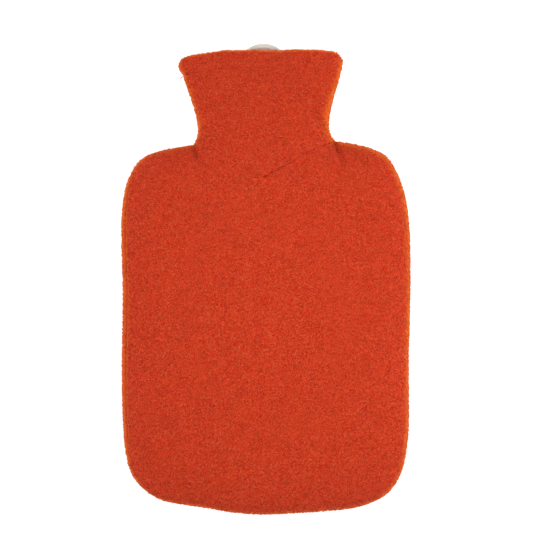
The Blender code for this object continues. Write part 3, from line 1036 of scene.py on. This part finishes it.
def grid_numbers(grid):
    """Vertex numbers for a grid of points."""
    rows, columns = grid.shape[:2]
    return np.arange(rows * columns).reshape(rows, columns)


def patch(left, right, bottom, top, rows, columns):
    """A grid of points that fills the space between four lines."""
    v = np.asarray(rows)[:, None, None]
    u = np.asarray(columns)[None, :, None]
    across = (1 - u) * left[:, None] + u * right[:, None]
    along = (1 - v) * bottom[None] + v * top[None]
    corners = (
        (1 - u) * (1 - v) * bottom[0]
        + u * (1 - v) * bottom[-1]
        + (1 - u) * v * top[0]
        + u * v * top[-1]
    )
    return across + along - corners


def neck_places(bottom):
    """The neck laid out flat from its bottom row to where the hem folds over."""
    columns = (bottom[:, 0] - bottom[0, 0]) / (bottom[-1, 0] - bottom[0, 0])
    left_cut = np.argmin(np.abs(neck_left_line[:, 1] - (neck_left_line[-1, 1] - HEM_BAND)))
    right_cut = np.argmin(np.abs(neck_right_line[:, 1] - (neck_right_line[-1, 1] - HEM_BAND)))
    band_left = neck_left_line[left_cut]
    band_right = neck_right_line[right_cut]
    hem_xs = hem_line[0, 0] + columns * (hem_line[-1, 0] - hem_line[0, 0])
    hem = np.column_stack([hem_xs, np.interp(hem_xs, hem_line[:, 0], hem_line[:, 1])])
    band_xs = band_left[0] + columns * (band_right[0] - band_left[0])
    lowered = hem[:, 1] - HEM_BAND
    lowered += (1 - columns) * (band_left[1] - lowered[0]) + columns * (band_right[1] - lowered[-1])
    band = np.column_stack([band_xs, lowered])
    height = band_left[1] - bottom[0, 1]
    inner = np.linspace(SEAM_ROWS[-1], height, round((height - SEAM_ROWS[-1]) / NECK_SPACING) + 1)[1:]
    rows = np.r_[SEAM_ROWS, inner] / height
    left = at_fractions(np.vstack([bottom[:1], neck_left_line[1 : left_cut + 1]]), rows)
    right = at_fractions(np.vstack([bottom[-1:], neck_right_line[1 : right_cut + 1]]), rows)
    lower = patch(left, right, bottom, band, rows, columns)
    rows = 1 - np.array(BAND_ROWS[1:]) / HEM_BAND
    left = at_fractions(neck_left_line[left_cut:], rows)
    right = at_fractions(neck_right_line[right_cut:], rows)
    upper = patch(left, right, band, hem, rows, columns)
    return np.vstack([lower, upper])


def below_hem(points):
    """How far each point is below the edge of the hem."""
    return np.interp(points[:, 0], hem_line[:, 0], hem_line[:, 1]) - points[:, 1]


def finish_hem(points, normals):
    """The turned hem stands out a little, and its stitching pulls a trough."""
    below = below_hem(points)
    puff = HEM_PUFF * np.sin(math.pi * np.clip(below / HEM_DEPTH, 0, 1))
    trough = STITCH_TROUGH * np.exp(-(((below - HEM_DEPTH) / STITCH_SOFTNESS) ** 2))
    return points + normals * (puff - trough)[:, None]


def hem_thickness(points):
    """Two layers of cloth above the stitching, except close to the side seams."""
    below = below_hem(points)
    doubled = np.clip((HEM_DEPTH + HEM_OVERLAP - below) / HEM_EASE, 0, 1)
    from_side = np.clip(distance_to(side_line, points[:, :2]) / HEM_SIDE_EASE, 0, 1)
    return CLOTH + (HEM_CLOTH - CLOTH) * doubled * from_side


def nap_at_stitching(points):
    """The pile is pressed down where the hem is stitched."""
    from_row = below_hem(points) - HEM_DEPTH
    return 1 - STITCH_PRESS * np.exp(-((from_row / STITCH_PRESS_REACH) ** 2))


def fold_directions(points, index):
    """Where the cloth heads as it reaches the fold of the hem."""
    ahead = np.zeros_like(points)
    ahead[index[-1]] = unit(points[index[-1]] - points[index[-2]])
    return ahead


def settle_corners(normals, index):
    """Normals at the lower corners follow those a little higher up the sides."""
    for columns in (slice(0, CORNER_COLUMNS), slice(-CORNER_COLUMNS, None)):
        normals[index[:CORNER_ROWS, columns]] = normals[index[CORNER_ROWS, columns]]


flat_neck = neck_places(seam_bottom + (0.0, SEAM_GAP))
index = grid_numbers(flat_neck)
flat_neck = flat_neck.reshape(-1, 2)
points = np.column_stack([flat_neck, front_surface(flat_neck)])
triangles = grid_triangles(index)
# Painted rim light along the neck's sides and along the edge of the hem.
rim_light = np.maximum(rim_light_share(points), np.exp(-((below_hem(points) / HEM_RIM_LIGHT_REACH) ** 2)))
normals = smooth_normals(points, triangles)
settle_corners(normals, index)
sides = [(index.T, NECK_SEAM_DEPTH), (index.T[::-1], NECK_SEAM_DEPTH)]
points = sink_seams(points, normals, sides, seam_paths)
points = finish_hem(points, normals)
points += normals * (nap_height(points, 2) * NAP_HEIGHT - PILE_DEPTH)[:, None]
normals = smooth_normals(points, triangles)
settle_corners(normals, index)
neck_front = cloth_object(
    "neck_front_fleece",
    points,
    triangles,
    normals,
    hem_thickness(points),
    rim_light,
    index[-1],
    fold_directions(points, index),
    nap_at_stitching(points) * pressed_nap(points),
)
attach(neck_front, "root")
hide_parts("neck_front")
add_pile("neck_front_pile", neck_front, 5)
stitched_row = BAND_ROWS.index(HEM_DEPTH) - len(BAND_ROWS)
front_stitch_line = points[index[stitched_row]]


# ---- Back panel ----
# The back of the body and neck in one piece of the same fleece, flat where it lies on
# the table, with the same turned hem at its top.

BACK_SPACING = 1.7
BACK_PILE_SHARE = 0.6

# Close to the table the pile gives way, and the cloth has less unevenness.
RESTING_NAP = 0.9
RESTING_EASE = 2.0

cross_line = body_line[[0, -1]]
points, triangles, strip, bottom_numbers = body_sheet(-1, cross_line, BACK_SPACING)
body_count = len(points)
flat_neck = neck_places(points[bottom_numbers, :2])[1:]
index = np.vstack([bottom_numbers, grid_numbers(flat_neck) + body_count])
flat_neck = flat_neck.reshape(-1, 2)
points = np.vstack([points, np.column_stack([flat_neck, back_surface(flat_neck)])])
triangles = np.vstack([triangles, grid_triangles(index)[:, ::-1]])
# Painted rim light along the sides and along the edge of the hem.
rim_light = np.maximum(rim_light_share(points), np.exp(-((below_hem(points) / HEM_RIM_LIGHT_REACH) ** 2)))
normals = smooth_normals(points, triangles)
side_columns = index[1:].T
neck_sides = [(side_columns, NECK_SEAM_DEPTH), (side_columns[::-1], NECK_SEAM_DEPTH)]
sides = [(strip, SIDE_SEAM_DEPTH), *neck_sides]
points = sink_seams(points, normals, sides, [])
neck_part = np.arange(len(points)) >= body_count
points[neck_part] = finish_hem(points, normals)[neck_part]
above_table = np.clip(points[:, 2] / RESTING_EASE, 0, 1)
from_seam = distance_to(points[strip[0]], points)
nap = np.where(neck_part, nap_at_stitching(points), flat_beside(from_seam))
nap *= np.clip(points[:, 2] / RESTING_NAP - 1, 0, 1)
points += normals * ((nap_height(points, 4) * NAP_HEIGHT - PILE_DEPTH) * above_table)[:, None]
normals = smooth_normals(points, triangles)
back_panel = cloth_object(
    "back_panel_fleece",
    points,
    triangles,
    normals,
    np.where(neck_part, hem_thickness(points), CLOTH),
    rim_light,
    index[-1],
    fold_directions(points, index),
    nap,
)
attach(back_panel, "root")
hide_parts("back_panel")
add_pile("back_panel_pile", back_panel, 7, BACK_PILE_SHARE)
back_stitch_line = points[index[stitched_row]]


# ---- Hem stitches ----
# One row of lockstitch in thread of the cloth's own orange, sewn about 12 mm below the
# edge of the mouth. One loose end of thread is left at the left corner of the hem.

STITCH_SPACING = 3.1 * MM
STITCH_LENGTH = 2.5 * MM
THREAD_RADIUS = 0.28 * MM
STITCH_LIFT = 0.1
STITCH_MARGIN = 4
THREAD_ORANGE = (0.50, 0.045, 0.012)
TWIST_SCALE = 2600
THREAD_END = (
    (-56.6, 145.6, 16.2),
    (-57.9, 144.6, 16.6),
    (-59.0, 143.9, 16.8),
    (-60.0, 143.5, 16.6),
    (-60.9, 142.6, 16.4),
)


def thread_material():
    """Spun thread: plain orange with a fine twist and a little shine."""
    values = {"Roughness": 0.7, "Specular IOR Level": 0.3}
    material, tree, shader = new_material("orange_thread", values)
    place = add_node(tree, "ShaderNodeTexCoord")
    twist = noise_node(tree, TWIST_SCALE, 1)
    shades = add_node(tree, "ShaderNodeMapRange", {"To Min": 0.8, "To Max": 1.1})
    tinted = mix_node(tree, "MULTIPLY", {"Factor": 1, MIX_A: (*THREAD_ORANGE, 1)})
    connect(
        tree,
        (place, "Object", twist, "Vector"),
        (twist, "Fac", shades, "Value"),
        (shades, "Result", tinted, MIX_B),
        (tinted, MIX_RESULT, shader, "Base Color"),
    )
    return material


def stitch_tree(material):
    """Geometry Nodes: stitches of one length, evenly spaced along a line."""
    sizes = (
        ("Stitch Spacing", "Float", STITCH_SPACING),
        ("Stitch Length", "Float", STITCH_LENGTH),
        ("Thread Radius", "Float", THREAD_RADIUS),
    )
    tree, given, result = node_group("hem_stitches", "Line", sizes, "Stitches")
    curve = add_node(tree, "GeometryNodeMeshToCurve")
    spaced = add_node(tree, "GeometryNodeResampleCurve", mode="LENGTH")
    along = add_node(tree, "GeometryNodeInputTangent")
    turned = add_node(tree, "FunctionNodeAlignRotationToVector", axis="X")
    bead = add_node(tree, "GeometryNodeMeshUVSphere", {"Segments": 10, "Rings": 8, "Radius": 1})
    half = add_node(tree, "ShaderNodeMath", {1: 0.5}, operation="MULTIPLY")
    size = add_node(tree, "ShaderNodeCombineXYZ")
    stitch = add_node(tree, "GeometryNodeTransform")
    smooth = add_node(tree, "GeometryNodeSetShadeSmooth")
    place = add_node(tree, "GeometryNodeInstanceOnPoints")
    connect(
        tree,
        (given, "Line", curve, "Mesh"),
        (curve, "Curve", spaced, "Curve"),
        (given, "Stitch Spacing", spaced, "Length"),
        (along, "Tangent", turned, "Vector"),
        (given, "Stitch Length", half, 0),
        (half, "Value", size, "X"),
        (given, "Thread Radius", size, "Y"),
        (given, "Thread Radius", size, "Z"),
        (bead, "Mesh", stitch, "Geometry"),
        (size, "Vector", stitch, "Scale"),
        (stitch, "Geometry", smooth, "Geometry"),
        (spaced, "Curve", place, "Points"),
        (smooth, "Geometry", place, "Instance"),
        (turned, "Rotation", place, "Rotation"),
    )
    make_real(tree, place, result, material)
    return tree


def add_stitches(name, line, upward):
    """A row of stitches lying in the trough along a line of the hem."""
    lifted = line[STITCH_MARGIN:-STITCH_MARGIN] + (0, 0, upward * STITCH_LIFT)
    guide_mesh = bpy.data.meshes.new(name + "_line")
    runs = [(number, number + 1) for number in range(len(lifted) - 1)]
    guide_mesh.from_pydata((lifted * MM).tolist(), runs, [])
    guide = placed(name + "_line", guide_mesh)
    stitches = made_mesh(name, guide, hem_stitches, {"Stitch Spacing": STITCH_SPACING})
    bpy.data.objects.remove(guide, do_unlink=True)
    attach(stitches, "root")


orange_thread = thread_material()
hem_stitches = stitch_tree(orange_thread)
add_stitches("front_hem_stitches", front_stitch_line, 1)
add_stitches("back_hem_stitches", back_stitch_line, -1)

thread_curve = bpy.data.curves.new("loose_thread_end", "CURVE")
thread_curve.dimensions = "3D"
thread_curve.bevel_depth = THREAD_RADIUS
thread_curve.bevel_resolution = 3
thread_curve.use_fill_caps = True
run = thread_curve.splines.new("NURBS")
run.points.add(len(THREAD_END) - 1)
for point, place in zip(run.points, THREAD_END):
    point.co = (*(value * MM for value in place), 1)
run.use_endpoint_u = True
thread_curve.materials.append(orange_thread)
thread_source = placed("loose_thread_source", thread_curve)
thread_end = made_mesh("loose_thread_end", thread_source)
bpy.data.objects.remove(thread_source, do_unlink=True)
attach(thread_end, "root")


# ---- Stopper ----
# The bottle's screw stopper, moulded in pale translucent plastic: a round flat grip with
# a thicker rim, on a hollow plug with a coarse thread that screws into the funnel.

GRIP_MIDDLE = (-1.6, 149.2, 15.0)
GRIP_RADIUS = 18.3
GRIP_RIM = 3.5
GRIP_WEB = 2.6
GRIP_ROUNDING = 1.6
GRIP_STEP = (14.2, 15.8)
GRIP_STEP_ROWS = 9
GRIP_SIDES = 96
PLUG_TOP = 137.0
PLUG_BOTTOM = 109.0
PLUG_RADIUS = 7.6
PLUG_COLLAR = {"bottom": 128.5, "radius": 9.3, "ease": 0.8}
THREAD_RISE = 0.75
THREAD_PITCH = 5.0
THREAD_FADE = 2.5
PLUG_ROW = 0.5
PLUG_SIDES = 64
CLOUD_SCALE = 220
STOPPER_SHADES = (
    {"from_middle": 0.0, "colour": (0.86, 0.86, 0.83)},
    {"from_middle": 15.9, "colour": (0.86, 0.86, 0.83)},
    {"from_middle": 16.5, "colour": (0.78, 0.75, 0.67)},
    {"from_middle": 17.5, "colour": (0.76, 0.72, 0.62)},
    {"from_middle": 18.0, "colour": (0.50, 0.45, 0.37)},
)


def rounded_corner(centre, radius, start, end, steps=8):
    """Points along an arc, at angles in degrees."""
    x, y = centre
    angles = np.radians(np.linspace(start, end, steps + 1))
    return [(x + radius * math.cos(angle), y + radius * math.sin(angle)) for angle in angles]


def grip_profile():
    """Half of the grip's section, as distance from the middle and height, from top to bottom."""
    inner, outer = GRIP_STEP
    edge = GRIP_RADIUS - GRIP_ROUNDING
    upper = [(0.0, GRIP_WEB), (inner * 0.5, GRIP_WEB), (inner - 1.0, GRIP_WEB)]
    for share in np.linspace(0, 1, GRIP_STEP_ROWS):
        height = GRIP_WEB + (GRIP_RIM - GRIP_WEB) * eased(share)
        upper.append((inner + (outer - inner) * share, height))
    upper += rounded_corner((edge, GRIP_RIM - GRIP_ROUNDING), GRIP_ROUNDING, 90, 0)
    lower = [(distance, -height) for distance, height in reversed(upper)]
    return upper + lower


def closed_rings(rings):
    """Vertices and faces of a skin over rings of points, closed to a point at each end."""
    rings = np.array(rings)
    count, sides = rings.shape[:2]
    index = np.arange(count * sides).reshape(count, sides)
    faces = []
    for lower, upper in zip(index, index[1:]):
        for a, b, c, d in zip(lower, np.roll(lower, -1), np.roll(upper, -1), upper):
            faces.append((a, b, c, d))
    first, last = count * sides, count * sides + 1
    faces += [(first, b, a) for a, b in zip(index[0], np.roll(index[0], -1))]
    faces += [(last, a, b) for a, b in zip(index[-1], np.roll(index[-1], -1))]
    points = np.vstack([rings.reshape(-1, 3), rings[0].mean(0), rings[-1].mean(0)])
    return points, faces


def grip_skin():
    """The round flat grip, turned about its middle."""
    angles = np.linspace(0, 2 * math.pi, GRIP_SIDES, endpoint=False)
    rings = []
    for distance, height in grip_profile()[1:-1]:
        xs = GRIP_MIDDLE[0] + distance * np.cos(angles)
        ys = GRIP_MIDDLE[1] + distance * np.sin(angles)
        rings.append(np.column_stack([xs, ys, np.full(GRIP_SIDES, GRIP_MIDDLE[2] + height)]))
    return closed_rings(rings[::-1])


def plug_skin():
    """The plug along the neck: a plain collar under the grip, then the thread."""
    angles = np.linspace(0, 2 * math.pi, PLUG_SIDES, endpoint=False)
    rings = []
    for y in np.arange(PLUG_BOTTOM, PLUG_TOP + PLUG_ROW, PLUG_ROW):
        turn = 0.5 + 0.5 * np.cos(angles - 2 * math.pi * y / THREAD_PITCH)
        ends = min(1.0, max(0.0, (y - PLUG_BOTTOM) / THREAD_FADE))
        threaded = PLUG_RADIUS + THREAD_RISE * ends * turn**3
        collar = min(1.0, max(0.0, (y - PLUG_COLLAR["bottom"]) / PLUG_COLLAR["ease"]))
        radius = threaded * (1 - collar) + PLUG_COLLAR["radius"] * collar
        xs = GRIP_MIDDLE[0] + radius * np.cos(angles)
        zs = GRIP_MIDDLE[2] - radius * np.sin(angles)
        rings.append(np.column_stack([xs, np.full(PLUG_SIDES, y), zs]))
    return closed_rings(rings)


def joined_skins(name, skins, material):
    """One smooth mesh object from closed skins in millimetres."""
    points = []
    faces = []
    for skin_points, skin_faces in skins:
        offset = sum(len(part) for part in points)
        points.append(skin_points)
        faces += [tuple(int(number) + offset for number in face) for face in skin_faces]
    mesh = bpy.data.meshes.new(name)
    mesh.from_pydata((np.vstack(points) * MM).tolist(), [], faces)
    mesh.shade_smooth()
    mesh.materials.append(material)
    return placed(name, mesh)


def stopper_material():
    """Translucent plastic: pale at its thick rim, grey in its thinner middle, darker at its edge."""
    material, tree, shader = new_material(
        "translucent_plastic",
        {
            "Roughness": 0.32,
            "Subsurface Weight": 0.25,
            "Subsurface Radius": (1.0, 1.0, 0.9),
            "Subsurface Scale": 0.002,
        },
    )
    middle = [value * MM for value in GRIP_MIDDLE]
    place = add_node(tree, "ShaderNodeTexCoord")
    to_middle = add_node(tree, "ShaderNodeVectorMath", {1: middle}, operation="SUBTRACT")
    flat = add_node(tree, "ShaderNodeVectorMath", {1: (1, 1, 0)}, operation="MULTIPLY")
    far = add_node(tree, "ShaderNodeVectorMath", operation="LENGTH")
    share = add_node(tree, "ShaderNodeMath", {1: GRIP_RADIUS * MM}, operation="DIVIDE")
    stops = [(row["from_middle"] / GRIP_RADIUS, row["colour"]) for row in STOPPER_SHADES]
    shades = ramp_node(tree, stops)
    cloudy = noise_node(tree, CLOUD_SCALE, 3)
    clouds = add_node(tree, "ShaderNodeMapRange", {"To Min": 0.96, "To Max": 1.04})
    tinted = mix_node(tree, "MULTIPLY", {"Factor": 1})
    connect(
        tree,
        (place, "Object", to_middle, 0),
        (to_middle, "Vector", flat, 0),
        (flat, "Vector", far, 0),
        (far, "Value", share, 0),
        (share, "Value", shades, "Fac"),
        (place, "Object", cloudy, "Vector"),
        (cloudy, "Fac", clouds, "Value"),
        (shades, "Color", tinted, MIX_A),
        (clouds, "Result", tinted, MIX_B),
        (tinted, MIX_RESULT, shader, "Base Color"),
    )
    return material


stopper = joined_skins("screw_stopper", [grip_skin(), plug_skin()], stopper_material())
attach(stopper, "root")
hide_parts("stopper")


# ---- Bottle ----
# The filled rubber bottle that holds the cover in shape, moulded in one piece: a flat
# body with soft edges, and a neck that opens into a funnel around the stopper's plug.

BOTTLE_SECTIONS = (
    {"y": -161.0, "half_width": 20.0, "rise": 4.0, "drop": 3.2},
    {"y": -158.5, "half_width": 36.0, "rise": 6.5, "drop": 5.0},
    {"y": -154.5, "half_width": 61.0, "rise": 9.5, "drop": 7.2},
    {"y": -150.0, "half_width": 75.0, "rise": 12.0, "drop": 9.0},
    {"y": -143.0, "half_width": 84.5, "rise": 14.3, "drop": 10.6},
    {"y": -130.0, "half_width": 92.0, "rise": 15.8, "drop": 11.2},
    {"y": -105.0, "half_width": 95.5, "rise": 16.4, "drop": 11.4},
    {"y": 30.0, "half_width": 96.5, "rise": 16.4, "drop": 11.4},
    {"y": 58.0, "half_width": 94.0, "rise": 15.8, "drop": 11.2},
    {"y": 72.0, "half_width": 86.0, "rise": 14.2, "drop": 10.8},
    {"y": 80.0, "half_width": 76.0, "rise": 12.6, "drop": 10.4},
    {"y": 86.5, "half_width": 58.0, "rise": 11.4, "drop": 10.0},
    {"y": 92.0, "half_width": 38.0, "rise": 11.0, "drop": 9.8},
    {"y": 100.0, "half_width": 27.0, "rise": 11.0, "drop": 9.8},
    {"y": 110.0, "half_width": 23.0, "rise": 11.0, "drop": 9.8},
    {"y": 119.0, "half_width": 24.5, "rise": 11.2, "drop": 9.8},
    {"y": 126.6, "half_width": 30.4, "rise": 10.8, "drop": 9.4},
    {"y": 127.3, "half_width": 30.6, "rise": 10.4, "drop": 9.1},
    {"y": 127.5, "half_width": 30.0, "rise": 9.8, "drop": 8.6},
    {"y": 127.3, "half_width": 29.2, "rise": 9.3, "drop": 8.2},
    {"y": 126.4, "half_width": 28.4, "rise": 8.9, "drop": 8.0},
    {"y": 122.0, "half_width": 23.5, "rise": 9.1, "drop": 8.3},
    {"y": 117.0, "half_width": 15.0, "rise": 9.2, "drop": 8.5},
    {"y": 112.0, "half_width": 9.4, "rise": 9.0, "drop": 8.6},
    {"y": 107.0, "half_width": 8.8, "rise": 8.8, "drop": 8.4},
)
BOTTLE_SQUARENESS = 3.0
SOCKET_SQUARENESS = 2.0
BOTTLE_RING_POINTS = 96
BOTTLE_ROUND_STEPS = 6
FUNNEL_ROWS = 8
RUBBER_SHADES = ((0.52, 0.50, 0.45), (0.60, 0.58, 0.53))
GRAIN_SCALE = 500


def bottle_skin():
    """A loft through the sections, eased between them along the outside."""
    angles = np.linspace(0, 2 * math.pi, BOTTLE_RING_POINTS, endpoint=False)
    sections = np.array([list(row.values()) for row in BOTTLE_SECTIONS])
    rows = smooth_line(sections, BOTTLE_ROUND_STEPS)
    turning = int(np.argmax(rows[:, 0]))
    rings = []
    for number, (y, half_width, rise, drop) in enumerate(rows):
        inside_funnel = min(1.0, max(0.0, (number - turning) / FUNNEL_ROWS))
        squareness = BOTTLE_SQUARENESS + (SOCKET_SQUARENESS - BOTTLE_SQUARENESS) * inside_funnel
        round_x = np.sign(np.cos(angles)) * np.abs(np.cos(angles)) ** (2 / squareness)
        round_z = np.sign(np.sin(angles)) * np.abs(np.sin(angles)) ** (2 / squareness)
        middle = eased_rows(HEIGHTS, "seam", "y", np.array([y]))[0]
        depth = np.where(round_z > 0, rise, drop)
        xs = half_width * round_x + GRIP_MIDDLE[0] * inside_funnel
        rings.append(np.column_stack([xs, np.full(len(angles), y), middle + depth * round_z]))
    return closed_rings([ring[::-1] for ring in rings])


def rubber_material():
    """Matt moulded rubber, pale grey, with a fine grain."""
    material, tree, shader = new_material("pale_rubber", {"Roughness": 0.6})
    place = add_node(tree, "ShaderNodeTexCoord")
    grain = noise_node(tree, GRAIN_SCALE, 3)
    shades = ramp_node(tree, list(zip((0.0, 1.0), RUBBER_SHADES)))
    bump = add_node(tree, "ShaderNodeBump", {"Strength": 0.3, "Distance": 0.0002})
    connect(
        tree,
        (place, "Object", grain, "Vector"),
        (grain, "Fac", shades, "Fac"),
        (shades, "Color", shader, "Base Color"),
        (grain, "Fac", bump, "Height"),
        (bump, "Normal", shader, "Normal"),
    )
    return material


bottle = joined_skins("rubber_bottle", [bottle_skin()], rubber_material())
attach(bottle, "root")
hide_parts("bottle")
